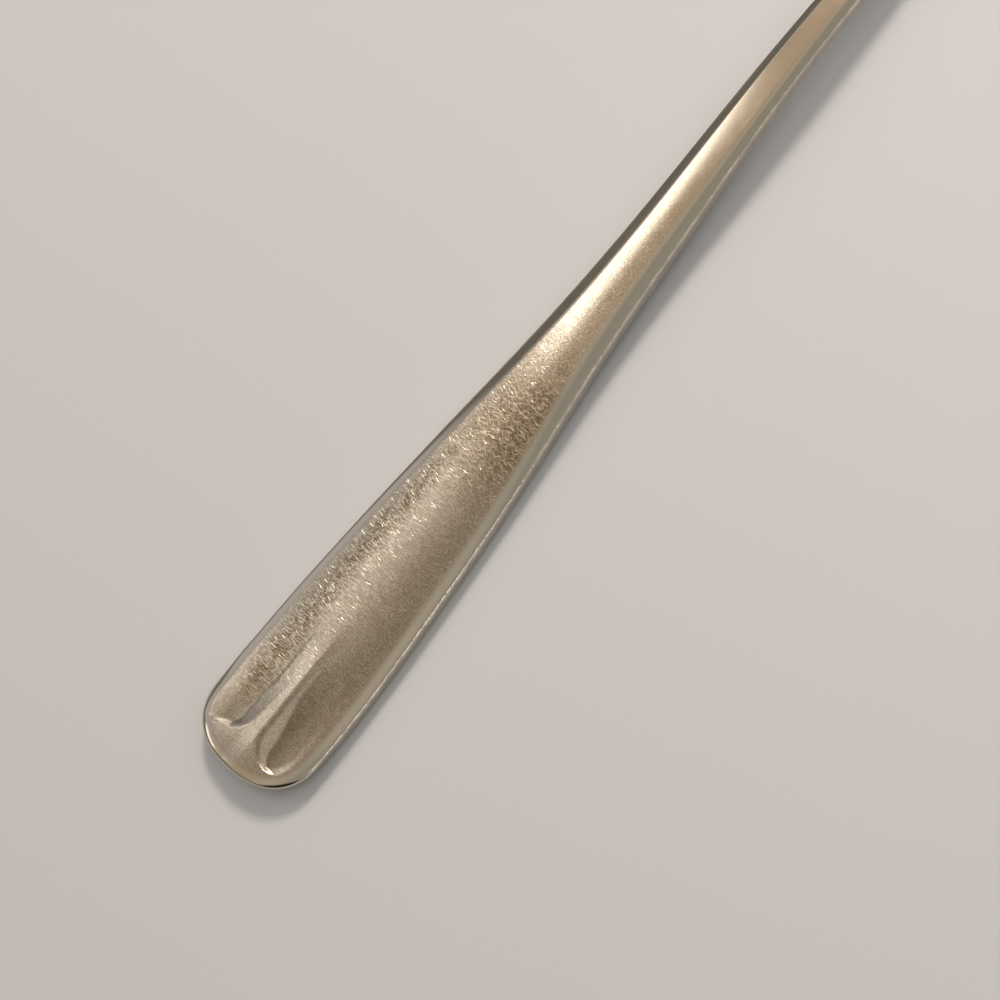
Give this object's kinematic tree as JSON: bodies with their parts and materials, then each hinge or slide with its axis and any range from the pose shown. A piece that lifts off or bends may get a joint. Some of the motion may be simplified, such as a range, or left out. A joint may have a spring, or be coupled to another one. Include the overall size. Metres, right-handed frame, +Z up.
{
  "type": "cocktail fork",
  "caption": "Small table fork with a tapering coined handle, a slim arched stem and a narrow curved tined head, for shellfish and appetisers.",
  "frame": {"origin": "centre of the bounding box at its bottom, on the surface that the fork lies on", "axes": "+X along the fork from the handle's end to the tine tips, +Z up out of the handle's face, +Y to the left"},
  "size_m": [0.142, 0.012, 0.006],
  "materials": {
    "stainless_steel": "polished stainless steel, worn satin by fine random scratches"
  },
  "bodies": {
    "root": {"handle": "stainless_steel", "stem": "stainless_steel", "palm": "stainless_steel", "tine_left": "stainless_steel", "tine_middle": "stainless_steel", "tine_right": "stainless_steel"}
  },
  "joints": []
}
